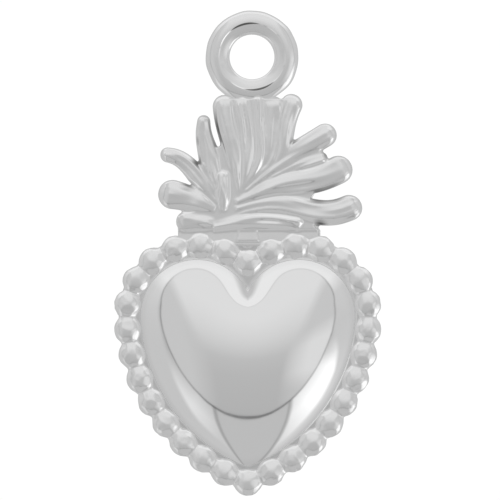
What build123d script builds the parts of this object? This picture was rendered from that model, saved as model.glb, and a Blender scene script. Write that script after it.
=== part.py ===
from build123d import *
import os
from math import asin, atan2, cos, hypot, pi, radians, sin, sqrt

# A sacred-heart charm in bright silver. A stepped back plate carries a pressed, hollow heart, a row
# of balls round it, a crown of flame tongues and a hanging ring.
# Millimetres. X to the right, Y to the back, Z up. The origin is the centre of the ring's hole.

# Hanging ring
RING_OUTER_RADIUS = 2.435
RING_HOLE_RADIUS = 1.16
RING_LAND_LENGTH = 0.35      # the straight stretch at the waist of the hole

# Crown of flames
CROWN_HEIGHT = 6.98
CROWN_HALF_WIDTH = 5.22
CROWN_OVERLAP = 0.475        # how far the tallest tongues run up the front of the ring
TONGUE_WIDTH = 1.03
TONGUE_HEIGHT = 0.85

# Row of balls: its line turns round the cleft, over two lobes and down two long sides to the tip.
# Each ball is a bead on a wire, that swells from a neck to the ball and back to the next neck.
HEART_AXIS_X = -0.22         # the heart hangs a little to the left of the ring
CROWN_TO_BALL_LINE = 0.76    # crown's lower edge down to the top of the balls' line
LOBE_RADIUS = 3.68
LOBE_OVERLAP = 0.26          # how far the lobes of the dome's foot run over the heart's axis
LOBE_TO_TIP = 8.65           # lobe centres down to the lowest ball's centre
LOBE_JOINT_ANGLE = 3         # degrees below the level where a lobe runs into its side
CLEFT_RADIUS = 0.61
BALL_COUNT = 30
BALL_RADIUS = 0.65
BALL_INSET = 0.05            # a ball's middle to the line, so it reaches further in than out
BALL_GAP = 0.02              # between the necks of two neighbours
NECK_RADIUS = 0.43

# Back plate
PLATE_THICKNESS = 0.8
LEDGE_THICKNESS = 0.4        # the lower rim that the balls stand on
LEDGE_MARGIN = 0.38          # line of balls out to the ledge's edge
FIELD_GAP = 0.02             # balls to the raised field inside them and to the collar above them

# Pressed heart
DOME_GAP = 0.02              # raised field's edge in to the foot of the dome
DOME_HEIGHT = 2.9
DOME_WALL = 0.4

# Stud between the cleft and the crown
STUD_WIDTH = 1.14
STUD_LENGTH = 0.6
STUD_HEIGHT = 0.5
STUD_SLOPE = 14              # degrees that its sides lean in towards the top and the front

SEAT_GAP = 0.01              # between a filed seat and the ring that lies in it
OVERRUN = 1.0                # how far a cutting body runs past what it cuts

# Flats: round the ring's bar, over a ball, across a tongue, along it and round its tip
RING_FLATS = 13
BALL_FLATS = 6
ARCH_FLATS = 7
BAR_STATIONS = 5
TIP_STATIONS = 3

BALL_SEAT_SHARE = 0.82       # of the ball's radius, how far behind its middle it sits on the ledge
BALL_SHARES = (0, 0.45, 0.80, 1)  # where a ball's sections stand, of the way to its end
FINGER_SHARE = 0.8           # of a tongue's width, the width of the plate behind it
COLLAR_FOOT_SHARE = 0.5      # of the lobes' radius, how far the collar runs down from their top

# Places in the crown are shares of its half width, out from the heart's axis, and of its height.
# Each tongue has its widths at the root, the middle and the tip and its height, as shares of a
# tongue's, then its line from root to tip. Foremost tongues come first: the others are filed to them.
TONGUE_SHARES = {
    "base_band_right": (0.56, 0.80, 0.78, 1.02, (-0.34, 0.03), (0.03, 0.07), (0.57, 0.045)),
    "base_band_left": (0.45, 0.80, 0.94, 0.92, (-0.26, 0.045), (-0.50, 0.06), (-0.71, 0.06)),
    "flame_core": (0.56, 0.74, 0.70, 1.06, (-0.24, 0.14), (-0.25, 0.30), (-0.245, 0.45)),
    "flame_left_low": (0.60, 1.14, 1.32, 1.00, (-0.33, 0.15), (-0.60, 0.235), (-0.886, 0.28)),
    "flame_right_low": (
        0.70, 1.12, 1.18, 1.00, (-0.11, 0.14), (0.32, 0.19), (0.62, 0.14), (0.86, 0.13), (1.12, 0.205),
    ),
    "flame_right_mid": (0.60, 1.20, 1.28, 1.02, (-0.11, 0.20), (0.32, 0.33), (0.69, 0.38), (1.02, 0.495)),
    "flame_tall_right": (
        0.50, 0.80, 1.00, 1.00, (0.19, 0.37), (0.345, 0.61), (0.385, 0.81), (0.475, 1.00),
    ),
    "flame_right_high": (
        0.55, 1.00, 1.06, 0.96, (-0.03, 0.30), (0.32, 0.50), (0.62, 0.635), (0.865, 0.745),
    ),
    "flame_tall_mid": (0.40, 0.60, 0.60, 1.02, (-0.03, 0.33), (0.12, 0.52), (0.115, 0.77), (0.10, 1.00)),
    "flame_left_high": (
        0.50, 1.06, 0.60, 0.96, (-0.263, 0.24), (-0.385, 0.56), (-0.435, 0.72), (-0.43, 0.85),
    ),
    "flame_tall_outer": (
        0.50, 1.00, 1.10, 0.92, (-0.09, 0.24), (-0.14, 0.59), (-0.21, 0.81), (-0.235, 1.00),
    ),
    "flame_left_mid": (
        0.50, 0.90, 0.68, 0.92, (-0.30, 0.20), (-0.50, 0.40), (-0.715, 0.54), (-0.866, 0.56),
    ),
    "flame_right_rib": (0.45, 0.76, 0.60, 0.88, (0.05, 0.32), (0.42, 0.455), (0.79, 0.54)),
    "flame_tall_left": (
        0.40, 0.80, 0.86, 0.94, (-0.05, 0.28), (0.00, 0.52), (-0.02, 0.76), (-0.085, 0.99),
    ),
    "flame_tall_inner": (0.50, 0.98, 1.00, 0.90, (0.04, 0.36), (0.215, 0.53), (0.25, 0.74), (0.25, 0.99)),
    "flame_left_inner": (0.40, 0.60, 0.50, 0.84, (-0.27, 0.20), (-0.366, 0.36), (-0.46, 0.52)),
}

# The plate behind the crown, from its lower left corner up, over and down the right side
COLLAR_SHARES = (
    (-0.69, 0.00), (-0.66, 0.11), (-0.42, 0.13), (-0.53, 0.30), (-0.44, 0.47), (-0.25, 0.60),
    (-0.22, 0.94), (0.37, 0.94), (0.40, 0.61), (0.50, 0.54), (0.70, 0.50), (0.72, 0.36),
    (0.63, 0.22), (0.60, 0.08), (0.72, 0.00),
)

# Level lines of the dome. Each has its height share, its lobe radius and lobe spread as shares of the
# foot's, and how far its lobe centres have sunk and its tip has risen, as shares of the foot's length.
DOME_SHARES = (
    (0.000, 1.000, 1.000, 0.000, 0.000),
    (0.148, 0.954, 0.961, 0.018, 0.033),
    (0.355, 0.877, 0.861, 0.057, 0.098),
    (0.536, 0.793, 0.726, 0.101, 0.172),
    (0.730, 0.669, 0.518, 0.159, 0.278),
    (0.864, 0.528, 0.323, 0.203, 0.380),
    (0.945, 0.369, 0.170, 0.230, 0.470),
)
DOME_APEX_SHARE = 0.261      # of the way from the lobe centres down to the tip

# Ring bar: the round section whose waist, as long as the land, lies at the hole's radius
RING_WIDTH = RING_OUTER_RADIUS - RING_HOLE_RADIUS
RING_BAR_RADIUS = (RING_WIDTH + RING_LAND_LENGTH**2 / RING_WIDTH / 4) / 2
RING_PITCH_RADIUS = RING_OUTER_RADIUS - RING_BAR_RADIUS

# Depths of the plate's faces, and levels down the charm
BACK_Y = RING_BAR_RADIUS
FRONT_Y = BACK_Y - PLATE_THICKNESS
LEDGE_Y = BACK_Y - LEDGE_THICKNESS
BALL_Y = LEDGE_Y - BALL_SEAT_SHARE * BALL_RADIUS
CROWN_BASE_Z = -(RING_OUTER_RADIUS - CROWN_OVERLAP + CROWN_HEIGHT)
LOBE_TOP_Z = CROWN_BASE_Z - CROWN_TO_BALL_LINE
LOBE_Z = LOBE_TOP_Z - LOBE_RADIUS
TIP_Z = LOBE_Z - LOBE_TO_TIP

# From the line of balls in to the field's edge and to the foot of the dome
FIELD_REACH = BALL_RADIUS + 2 * BALL_INSET + FIELD_GAP
DOME_REACH = FIELD_REACH + DOME_GAP
LOBE_SPREAD = LOBE_RADIUS - DOME_REACH - LOBE_OVERLAP  # heart axis to a lobe's centre


def front_plane(y):
    """The plane at a depth, looking to the front, with the part's X and Z as its own."""
    return Plane.XZ.offset(-y)


def side_arc(spread, radius, lobe_z, tip_z):
    """Centre and radius of the side that leaves a lobe tangentially and meets the axis at the tip."""
    angle = radians(LOBE_JOINT_ANGLE)
    drop = lobe_z - tip_z
    reach = (spread**2 + drop**2 - radius**2) / (2 * (radius + spread * cos(angle) - drop * sin(angle)))
    return (spread - reach * cos(angle), lobe_z + reach * sin(angle)), radius + reach


def half_heart(spread, radius, lobe_z, tip_z):
    """The cleft, lobe top, lobe joint, middle of the side and tip of the right half."""
    (centre_x, centre_z), side_radius = side_arc(spread, radius, lobe_z, tip_z)
    joint_angle = radians(LOBE_JOINT_ANGLE)
    tip_angle = asin((centre_z - tip_z) / side_radius)
    middle = (joint_angle + tip_angle) / 2
    cleft = (0, lobe_z + sqrt(radius**2 - spread**2))
    top = (spread, lobe_z + radius)
    joint = (spread + radius * cos(joint_angle), lobe_z - radius * sin(joint_angle))
    side = (centre_x + side_radius * cos(middle), centre_z - side_radius * sin(middle))
    return cleft, top, joint, side, (0, tip_z)


def heart_face(plane, spread, radius, lobe_z, tip_z):
    """A heart of four arcs."""
    cleft, top, joint, side, tip = half_heart(spread, radius, lobe_z, tip_z)

    def left(point):
        return (-point[0], point[1])

    with BuildSketch(plane) as sketch:
        with BuildLine():
            ThreePointArc(cleft, top, joint)
            ThreePointArc(joint, side, tip)
            ThreePointArc(tip, left(side), left(joint))
            ThreePointArc(left(joint), left(top), cleft)
        make_face()
    return sketch.sketch.face()


def grown_heart(growth):
    """Lobe radius and tip level of the heart that lies a growth outside the line of balls."""
    (centre_x, centre_z), side_radius = side_arc(LOBE_SPREAD, LOBE_RADIUS, LOBE_Z, TIP_Z)
    tip_z = centre_z - sqrt((side_radius + growth) ** 2 - centre_x**2)
    return LOBE_RADIUS + growth, tip_z


def on_heart_axis(shape):
    return Pos(HEART_AXIS_X, 0, 0) * shape


def ball_line():
    """The right half of the line of balls, from the cleft to the tip."""
    (centre_x, centre_z), side_radius = side_arc(LOBE_SPREAD, LOBE_RADIUS, LOBE_Z, TIP_Z)
    cleft_centre = sqrt((LOBE_RADIUS + CLEFT_RADIUS) ** 2 - LOBE_SPREAD**2)
    lean = asin(LOBE_SPREAD / (LOBE_RADIUS + CLEFT_RADIUS))
    _, top, joint, side, tip = half_heart(LOBE_SPREAD, LOBE_RADIUS, LOBE_Z, TIP_Z)

    def round_cleft(angle):
        return (CLEFT_RADIUS * sin(angle), LOBE_Z + cleft_centre - CLEFT_RADIUS * cos(angle))

    with BuildLine() as line:
        ThreePointArc(round_cleft(0), round_cleft(lean / 2), round_cleft(lean))
        ThreePointArc(round_cleft(lean), top, joint)
        ThreePointArc(joint, side, tip)
    return line.wires()[0]


def ball_places():
    """The balls' centres in the plane of the heart, evenly along the line, clockwise from the cleft."""
    line = ball_line()
    right = [line @ (2 * n / BALL_COUNT) for n in range(BALL_COUNT // 2 + 1)]
    left = [Vector(-p.X, p.Y) for p in reversed(right[1 : (BALL_COUNT + 1) // 2])]
    return [(p.X, p.Y) for p in right + left]


def arch(place, along, half, height, flats, leg=0):
    """A section across a line: half an ellipse, in flats, on two straight legs and a flat base."""
    angles = [pi * n / flats for n in range(flats + 1)]
    points = [(half * cos(a), height * sin(a)) for a in angles]
    if leg:
        points = [(half, -leg), *points, (-half, -leg)]
    plane = Plane(place, x_dir=(-along.Z, 0, along.X), z_dir=along)
    return (plane * make_face(Polyline(*points, points[0]))).face()


def ball(before, here, after):
    """A ball between its neighbours, with half of each neck. Its sections turn like a fan, so both
    ends stand square to the way to the neighbour."""
    steps = [(here[0] - before[0], here[1] - before[1]), (after[0] - here[0], after[1] - here[1])]
    half_turn = atan2(
        steps[0][0] * steps[1][1] - steps[0][1] * steps[1][0],
        steps[0][0] * steps[1][0] + steps[0][1] * steps[1][1],
    ) / 2
    heading = atan2(steps[0][1], steps[0][0]) + half_turn
    sections = []
    for share in [-share for share in BALL_SHARES[:0:-1]] + list(BALL_SHARES):
        out = share * (hypot(*steps[share > 0]) - BALL_GAP) / 2
        angle = heading + asin(share * sin(half_turn))
        along = Vector(cos(angle), 0, sin(angle))
        radius = max(sqrt(max(BALL_RADIUS**2 - out**2, 0)), NECK_RADIUS)
        inward = Vector(along.Z, 0, -along.X) * BALL_INSET
        place = Vector(HEART_AXIS_X + here[0], BALL_Y, here[1]) + along * out + inward
        leg = BALL_SEAT_SHARE * BALL_RADIUS
        sections.append(arch(place, along, radius + BALL_INSET, radius, BALL_FLATS, leg))
    return loft(sections, ruled=True)


def dome_body(shrink, height, foot_radius, foot_tip_z):
    """A dome on a heart-shaped foot, shrunk towards its apex line, that rises from the plate's face."""
    apex_z = LOBE_Z - DOME_APEX_SHARE * LOBE_TO_TIP
    foot_length = LOBE_Z + sqrt(foot_radius**2 - LOBE_SPREAD**2) - foot_tip_z
    levels = []
    for height_share, radius_share, spread_share, sink_share, rise_share in DOME_SHARES:
        lobe_z = LOBE_Z - sink_share * foot_length
        tip_z = foot_tip_z + rise_share * foot_length
        level = heart_face(
            front_plane(FRONT_Y - height_share * height),
            LOBE_SPREAD * spread_share * shrink,
            foot_radius * radius_share * shrink,
            apex_z + (lobe_z - apex_z) * shrink,
            apex_z + (tip_z - apex_z) * shrink,
        )
        levels.append(level)
    return loft([*levels, Vertex(0, FRONT_Y - height, apex_z)], ruled=True)


def heart_dome():
    """The pressed heart: a thin shell, open at the back, where the plate closes it."""
    radius, tip_z = grown_heart(-DOME_REACH)
    shrink = 1 - DOME_WALL / (LOBE_SPREAD + radius)
    outside = dome_body(1, DOME_HEIGHT, radius, tip_z)
    inside = dome_body(shrink, DOME_HEIGHT - DOME_WALL, radius, tip_z)
    return on_heart_axis(outside - inside)


def hanging_ring():
    """A round bar, in flats, turned about the Y axis, with a straight land at the waist of its hole."""
    half_land = asin(RING_LAND_LENGTH / 2 / RING_BAR_RADIUS)
    turn = 2 * (pi - half_land) / (RING_FLATS - 1)
    angles = [half_land - pi + turn * n for n in range(RING_FLATS)]
    points = [(RING_PITCH_RADIUS + RING_BAR_RADIUS * cos(a), RING_BAR_RADIUS * sin(a)) for a in angles]
    return revolve(make_face(Polyline(*points, points[0])), Axis.Y)


def ring_seat():
    """What is filed out of the plate and the tongues for the ring."""
    return Torus(RING_PITCH_RADIUS, RING_BAR_RADIUS + SEAT_GAP, rotation=(90, 0, 0))


def crown_place(shares):
    """X and Z of a place in the crown."""
    return HEART_AXIS_X + shares[0] * CROWN_HALF_WIDTH, CROWN_BASE_Z + shares[1] * CROWN_HEIGHT


class Tongue:
    """A bar with an arched front and a flat back, on a bent line, that ends in a round tip."""

    def __init__(self, root, middle, tip, height, *places):
        points = [crown_place(place) for place in places]
        self.line = Spline([(x, FRONT_Y, z) for x, z in points])
        self.half_widths = [share * TONGUE_WIDTH / 2 for share in (root, middle, tip)]
        self.height = height * TONGUE_HEIGHT
        self.tip_radius = self.half_widths[2]
        self.tip_start = 1 - self.tip_radius / self.line.length

    def stations(self):
        """Where the bar's sections stand, as shares of the line, and half the bar's width there."""
        root, middle, tip = self.half_widths
        for n in range(BAR_STATIONS):
            share = n / (BAR_STATIONS - 1)
            toward_tip = max(2 * share - 1, 0)
            half = root + (middle - root) * min(2 * share, 1) + (tip - middle) * toward_tip
            yield share * self.tip_start, half

    def section(self, t, half, height):
        return arch(self.line @ t, self.line % t, half, height, ARCH_FLATS)

    def body(self):
        """The bar and its round tip."""
        sections = [self.section(t, half, self.height) for t, half in self.stations()]
        for n in range(1, TIP_STATIONS + 1):
            angle = pi / 2 * n / (TIP_STATIONS + 1)
            t = self.tip_start + (1 - self.tip_start) * sin(angle)
            sections.append(self.section(t, self.tip_radius * cos(angle), self.height * cos(angle)))
        return loft(sections, ruled=True)

    def finger(self):
        """The plate's outline behind the tongue, a little narrower than the tongue."""
        right, left = [], []
        for t, half in self.stations():
            place, along = self.line @ t, self.line % t
            reach = half * FINGER_SHARE
            right.append((place.X + along.Z * reach, place.Z - along.X * reach))
            left.append((place.X - along.Z * reach, place.Z + along.X * reach))
        end = self.line @ (self.tip_start + (1 - self.tip_start) * FINGER_SHARE)
        return make_face(Polyline(*right, (end.X, end.Z), *reversed(left), right[0]))


def stud():
    """The small block above the cleft, its top edge at the crown's lower edge."""
    lean = STUD_LENGTH * sin(radians(STUD_SLOPE))
    with BuildSketch(front_plane(FRONT_Y)) as sketch:
        with BuildLine():
            Polyline(
                (-STUD_WIDTH / 2, CROWN_BASE_Z - STUD_LENGTH),
                (STUD_WIDTH / 2, CROWN_BASE_Z - STUD_LENGTH),
                (STUD_WIDTH / 2 - lean, CROWN_BASE_Z),
                (lean - STUD_WIDTH / 2, CROWN_BASE_Z),
                close=True,
            )
        make_face()
    return on_heart_axis(extrude(sketch.sketch, STUD_HEIGHT, taper=STUD_SLOPE))


def heart_slab(growth, back_y, front_y):
    """A heart-shaped slab between two depths."""
    radius, tip_z = grown_heart(growth)
    face = heart_face(front_plane(back_y), LOBE_SPREAD, radius, LOBE_Z, tip_z)
    return on_heart_axis(extrude(face, back_y - front_y))


def back_plate(tongues):
    """The plate: a raised field inside a lower ledge, and a collar with fingers behind the tongues."""
    collar = [crown_place(place) for place in COLLAR_SHARES]
    foot_z = LOBE_TOP_Z - COLLAR_FOOT_SHARE * LOBE_RADIUS
    outline = make_face(Polyline((collar[0][0], foot_z), *collar, (collar[-1][0], foot_z), close=True))
    fingers = [tongue.finger() for tongue in tongues.values()]
    crown = extrude(front_plane(BACK_Y) * (outline + fingers), PLATE_THICKNESS)
    crown -= heart_slab(BALL_RADIUS + FIELD_GAP, LEDGE_Y, FRONT_Y - OVERRUN)
    ledge = heart_slab(LEDGE_MARGIN, BACK_Y, LEDGE_Y)
    field = heart_slab(-FIELD_REACH, BACK_Y, FRONT_Y)
    return crown + ledge + field - ring_seat()


def seated(piece, neighbours):
    """The piece filed to its neighbours' bodies, without any crumb that the filing cuts off."""
    box = piece.bounding_box()
    for other in neighbours:
        other_box = other.bounding_box()
        spans = zip(box.min, box.max, other_box.min, other_box.max)
        if all(low < other_high and other_low < high for low, high, other_low, other_high in spans):
            piece = piece - other
    return max(piece.solids(), key=lambda solid: solid.volume)


def main():
    places = ball_places()
    tongues = {name: Tongue(*shares) for name, shares in TONGUE_SHARES.items()}

    pieces = {"hanging_ring": hanging_ring(), "heart_dome": heart_dome()}
    neighbours = zip(places[-1:] + places[:-1], places, places[1:] + places[:1])
    balls = [ball(before, here, after) for before, here, after in neighbours]
    for number, one in enumerate(balls, 1):
        pieces[f"ball_{number:02d}"] = one

    bodies = [ring_seat(), *balls]
    for name, tongue in tongues.items():
        body = tongue.body()
        pieces[name] = seated(body, bodies)
        bodies.append(body)
    pieces["crown_stud"] = seated(stud(), bodies)
    pieces["back_plate"] = back_plate(tongues)

    os.makedirs("parts", exist_ok=True)
    for name, piece in pieces.items():
        export_step(piece, f"parts/{name}.step")


main()
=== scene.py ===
import math

import bpy
import numpy as np
from bpy.props import FloatProperty, FloatVectorProperty, IntProperty, PointerProperty
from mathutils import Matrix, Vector, noise


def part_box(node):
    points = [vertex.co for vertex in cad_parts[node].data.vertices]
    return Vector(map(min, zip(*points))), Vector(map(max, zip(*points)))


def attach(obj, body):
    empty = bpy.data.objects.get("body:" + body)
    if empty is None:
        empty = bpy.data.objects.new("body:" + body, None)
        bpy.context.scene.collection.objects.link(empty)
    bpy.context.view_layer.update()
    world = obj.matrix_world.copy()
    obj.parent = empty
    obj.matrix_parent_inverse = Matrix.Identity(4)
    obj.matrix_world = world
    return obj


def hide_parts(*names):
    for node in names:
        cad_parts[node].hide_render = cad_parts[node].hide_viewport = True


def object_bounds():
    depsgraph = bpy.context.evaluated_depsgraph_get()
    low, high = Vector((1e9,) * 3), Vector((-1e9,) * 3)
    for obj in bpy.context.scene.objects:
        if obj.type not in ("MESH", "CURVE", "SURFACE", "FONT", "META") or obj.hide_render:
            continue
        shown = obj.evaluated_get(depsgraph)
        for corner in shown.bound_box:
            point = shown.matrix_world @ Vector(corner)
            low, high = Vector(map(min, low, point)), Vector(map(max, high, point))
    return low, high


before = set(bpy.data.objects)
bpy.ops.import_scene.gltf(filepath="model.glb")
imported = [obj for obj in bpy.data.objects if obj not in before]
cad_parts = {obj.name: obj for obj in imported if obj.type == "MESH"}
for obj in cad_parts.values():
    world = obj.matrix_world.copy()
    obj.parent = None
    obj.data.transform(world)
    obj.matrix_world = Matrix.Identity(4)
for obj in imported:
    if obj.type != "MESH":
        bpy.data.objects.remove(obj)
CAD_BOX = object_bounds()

bl_info = {
    "name": "Milagro heart charm",
    "version": (1, 0, 0),
    "blender": (4, 5, 0),
    "location": "View3D > Sidebar > Charm",
    "description": "Dresses the charm's solids as bright silver, with its studio",
    "category": "Object",
}

MM = 0.001

# The crown's tongues. Places are shares of the crown's half width, out from the heart's axis, and of
# its height. Widths at root, middle and tip and the height are shares of a tongue's.
TONGUES = {
    "base_band_right": (0.56, 0.8, 0.78, 1.02, (-0.34, 0.03), (0.03, 0.07), (0.57, 0.045)),
    "base_band_left": (0.45, 0.8, 0.94, 0.92, (-0.26, 0.045), (-0.5, 0.06), (-0.71, 0.06)),
    "flame_core": (0.56, 0.74, 0.7, 1.06, (-0.24, 0.14), (-0.25, 0.3), (-0.245, 0.45)),
    "flame_left_low": (0.6, 1.14, 1.32, 1.0, (-0.33, 0.15), (-0.6, 0.235), (-0.886, 0.28)),
    "flame_right_low": (
        0.7, 1.12, 1.18, 1.0, (-0.11, 0.14), (0.32, 0.19), (0.62, 0.14), (0.86, 0.13), (1.12, 0.205),
    ),
    "flame_right_mid": (0.6, 1.2, 1.28, 1.02, (-0.11, 0.2), (0.32, 0.33), (0.69, 0.38), (1.02, 0.495)),
    "flame_tall_right": (0.5, 0.8, 1.0, 1.0, (0.19, 0.37), (0.345, 0.61), (0.385, 0.81), (0.475, 1.0)),
    "flame_right_high": (0.55, 1.0, 1.06, 0.96, (-0.03, 0.3), (0.32, 0.5), (0.62, 0.635), (0.865, 0.745)),
    "flame_tall_mid": (0.4, 0.6, 0.6, 1.02, (-0.03, 0.33), (0.12, 0.52), (0.115, 0.77), (0.1, 1.0)),
    "flame_left_high": (
        0.5, 1.06, 0.6, 0.96, (-0.263, 0.24), (-0.385, 0.56), (-0.435, 0.72), (-0.43, 0.85),
    ),
    "flame_tall_outer": (0.5, 1.0, 1.1, 0.92, (-0.09, 0.24), (-0.14, 0.59), (-0.21, 0.81), (-0.235, 1.0)),
    "flame_left_mid": (0.5, 0.9, 0.68, 0.92, (-0.3, 0.2), (-0.5, 0.4), (-0.715, 0.54), (-0.866, 0.56)),
    "flame_right_rib": (0.45, 0.76, 0.6, 0.88, (0.05, 0.32), (0.42, 0.455), (0.79, 0.54)),
    "flame_tall_left": (0.4, 0.8, 0.86, 0.94, (-0.05, 0.28), (0.0, 0.52), (-0.02, 0.76), (-0.085, 0.99)),
    "flame_tall_inner": (0.5, 0.98, 1.0, 0.9, (0.04, 0.36), (0.215, 0.53), (0.25, 0.74), (0.25, 0.99)),
    "flame_left_inner": (0.4, 0.6, 0.5, 0.84, (-0.27, 0.2), (-0.366, 0.36), (-0.46, 0.52)),
}
# The web that the tongues run together over, clockwise from the crown's lower left corner
WEB = (
    (-0.69, 0.0), (-0.7, 0.1), (-0.5, 0.14), (-0.52, 0.29), (-0.48, 0.32), (-0.44, 0.46), (-0.4, 0.58),
    (-0.34, 0.6), (-0.27, 0.62), (-0.27, 0.97), (0.41, 0.97), (0.43, 0.63), (0.52, 0.6), (0.7, 0.6),
    (0.74, 0.55), (0.8, 0.47), (0.68, 0.3), (0.62, 0.24), (0.62, 0.16), (0.62, 0.08), (0.68, 0.0),
)
# The thin skin over the collar below the crown, and the stud on it
APRON = ((-0.69, -0.12), (-0.69, 0.04), (0.7, 0.04), (0.7, -0.12))
STUD = ((-0.11, -0.085), (-0.085, -0.004), (0.085, -0.004), (0.11, -0.085))
# The narrow slots between tongues, whose steep walls get painted shade: place across and up, and reach
# as a share of the crown's height
SLOTS = (
    (-0.28, 0.75, 0.18), (-0.27, 0.63, 0.1), (-0.5, 0.49, 0.08), (-0.6, 0.31, 0.08), (0.46, 0.62, 0.08),
    (0.8, 0.57, 0.07), (0.7, 0.25, 0.13), (0.85, 0.27, 0.12), (0.72, 0.05, 0.07), (-0.45, 0.66, 0.06),
)

# The light tent. A direction's turn is in degrees from straight down, with plus to the right, and its
# depth goes from -1 at the lens to 1 at the back. Tones are shares of white, and a tone is even beyond
# the ends of its table.

# How deep the edge of the cloth lies, by the cosine of the turn: it sags towards the lens below
EDGE_DEPTHS = (
    (-1, 0.1), (-0.78, -0.02), (-0.56, -0.1), (-0.39, -0.17), (0, -0.165),
    (0.34, -0.225), (0.57, -0.29), (0.707, -0.35), (0.88, -0.455), (1, -0.55),
)
# The cloth's tones by turn, and those of two brighter parts of it: a pale strip low on the left and a
# window low on the right
CLOTH_TONES = (
    (-140, 0.9), (-124, 0.7), (-100, 0.64), (-80, 0.61), (-30, 0.61), (30, 0.7),
    (60, 0.74), (80, 0.64), (94, 0.62), (124, 0.66), (140, 0.9),
)
STRIP_TONES = (
    (-80, 0.62), (-66, 0.77), (-50, 0.84), (-40, 0.76), (-30, 0.66), (32, 0.78),
    (43, 0.98), (53, 1.18), (70, 1.2), (77, 0.86), (86, 0.72), (94, 0.62),
)
# How deep the strip and the window end, by turn, over how much depth they fade out there, and how they
# come up to their tones behind the cloth's edge
STRIP_ENDS = (
    (-90, -0.1), (-78, -0.06), (-47, 0.22), (-42, 0.26), (-27, 0.27), (25, 0.45), (56, 0.45),
    (68, 0.38), (76, 0.24), (86, -0.04), (94, -0.2),
)
STRIP_FADE = (-0.08, 0.04)
STRIP_ONSET = ((0, 0.78), (0.34, 1.0))
# The back of the tent
BACK_DEPTHS = (0.5, 0.75)
BACK_TONE = 0.58
# The dark seam along the cloth's edge: its section, and how dark it is by the turn to either side
SEAM = ((-0.03, 0), (-0.012, 1), (0.012, 1), (0.03, 0))
SEAM_DARKNESS = ((0, 0.68), (40, 0.6), (60, 0.38), (140, 0.38), (156, 0.16))
# The gap that the cloth leaves below the charm: its turn, how many degrees it narrows over a depth of
# one, where its side lies and what is seen through it
GAP_TURN = 5
GAP_NARROWING = 25
GAP_SIDE = (34, 32)
GAP_TONE = 0.56
GAP_HEM = ((30, 1), (32, 0.68), (34, 0.68), (36, 1))
# The room on the lens side: its tones by height, and its sides by how far across they lie
ROOM_TONES = ((-1, 0.47), (-0.7, 0.5), (-0.3, 0.52), (0, 0.56), (0.4, 0.62), (1, 0.64))
ROOM_SIDES = (0.5, 0.8)
ROOM_SIDE_TONE = 0.62
# A card low on the right and a wide panel overhead, each by how far across and how high it lies
CARD_ACROSS = (0.52, 0.82)
CARD_UP = ((-0.55, 0), (-0.35, 1), (0, 1), (0.25, 0))
CARD_TONE = 0.78
PANEL_ACROSS = (0.68, 0.52)
PANEL_UP = ((0, 0), (0.6, 0.75), (0.85, 1))
PANEL_TONE = 0.8
# How far the cloth's edge blurs to either side
EDGE_BLUR = 0.01

# The soft lamps: place and size in metres, and power in watts
LAMPS = {
    "window": ((0.1, -0.16, 0.12), 0.06, 0.35),
    "low card": ((0.14, -0.1, -0.012), 0.05, 0.22),
}
# How each kind of piece is finished: the waves' scale and depth, the scratches' depth, where its painted
# shade begins and is full, in millimetres behind the ring's middle, the painted shade's share and the added
# dullness. The painted shade darkens the metal towards the back, down in the hollows where shade falls.
FINISHES = {
    "Heart silver": (330, 1.0, 0.012, -0.75, -0.15, 0.1, -0.05),
    "Ball silver": (900, 0.7, 0.02, -0.55, 0.15, 0.1, 0.06),
    "Flame silver": (800, 1.1, 0.03, -0.95, -0.15, 0.16, 0.02),
    "Plate silver": (500, 1.0, 0.05, -0.3, 0.25, 0.2, 0.18),
    "Ring silver": (700, 0.9, 0.03, -0.2, 0.6, 0.15, 0.0),
}

# Steps along a tongue's line, and how many of them to either side its direction is taken over
LINE_STEPS = 600
LINE_LOOK = 3
# Seeds of the smooth random numbers, and how far apart the places of two neighbouring seeds lie
FURROW_SEED = 60
RING_SEED = 40
SEED_STEP = (7.1, 3.7, 5.3)


def length(name, description, millimetres):
    return FloatProperty(
        name=name, description=description, default=millimetres * MM, unit="LENGTH", precision=5
    )


def share(name, description, default, most=1):
    return FloatProperty(
        name=name, description=description, default=default, subtype="FACTOR", min=0, max=most
    )


def amount(name, description, default):
    return IntProperty(name=name, description=description, default=default)


def angle(name, description, degrees):
    return FloatProperty(name=name, description=description, default=math.radians(degrees), subtype="ANGLE")


def tint(name, description, colour):
    return FloatVectorProperty(
        name=name, description=description, default=colour, size=3, subtype="COLOR", min=0, max=1
    )


class CharmHeart(bpy.types.PropertyGroup):
    axis_x: length("Axis", "Where the heart's axis lies across the charm", -0.22)
    lobe_spread: length("Lobe spread", "From the heart's axis to a lobe's centre", 2.63)
    lobe_radius: length("Lobe radius", "Radius of the foot's lobes", 2.89)
    lobe_z: length("Lobe level", "Level of the lobes' centres", -13.38)
    tip_z: length("Tip level", "Level of the foot's tip", -21.18)
    apex_z: length("Apex level", "Level that the skin's lines spread from", -15.64)
    joint_angle: angle("Joint angle", "Where a lobe runs into its side", 3)
    height: length("Height", "How far the dome stands off the plate", 2.88)
    wall: length("Wall", "Thickness of the pressed sheet", 0.4)
    sunk: length("Sunk", "How far the foot's edge goes into the plate", 0.06)
    slant: share("Slant", "How far the foot leans in, from upright", 0.16)
    rays: amount("Rays", "Lines from the apex to the rim", 336)
    rings: amount("Rings", "Rings between the apex and the rim", 60)


class CharmBalls(bpy.types.PropertyGroup):
    seat: share("Seat", "How far the ball's seat lies behind its middle, of its radius", 0.82)
    inset: length("Inset", "How much wider a ball is across the row than along it", 0.05)
    neck: length("Neck", "Radius of the wire between two balls", 0.42)
    gap: length("Gap", "Between the necks of two neighbours", 0.02)
    dent: length("Dent", "How deep the flats between two ridges go at most", 0.064)
    facet: share("Facet", "Size of the skin's flats, of a ball's radius", 0.7)
    crowding: share("Crowding", "How much closer a ball's sections lie at its ends", 0.4)
    sides: amount("Sides", "Faces over a ball", 32)
    leg_rows: amount("Leg rows", "Faces from a ball's side to its seat", 3)
    stations: amount("Stations", "Faces along a ball", 30)


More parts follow.
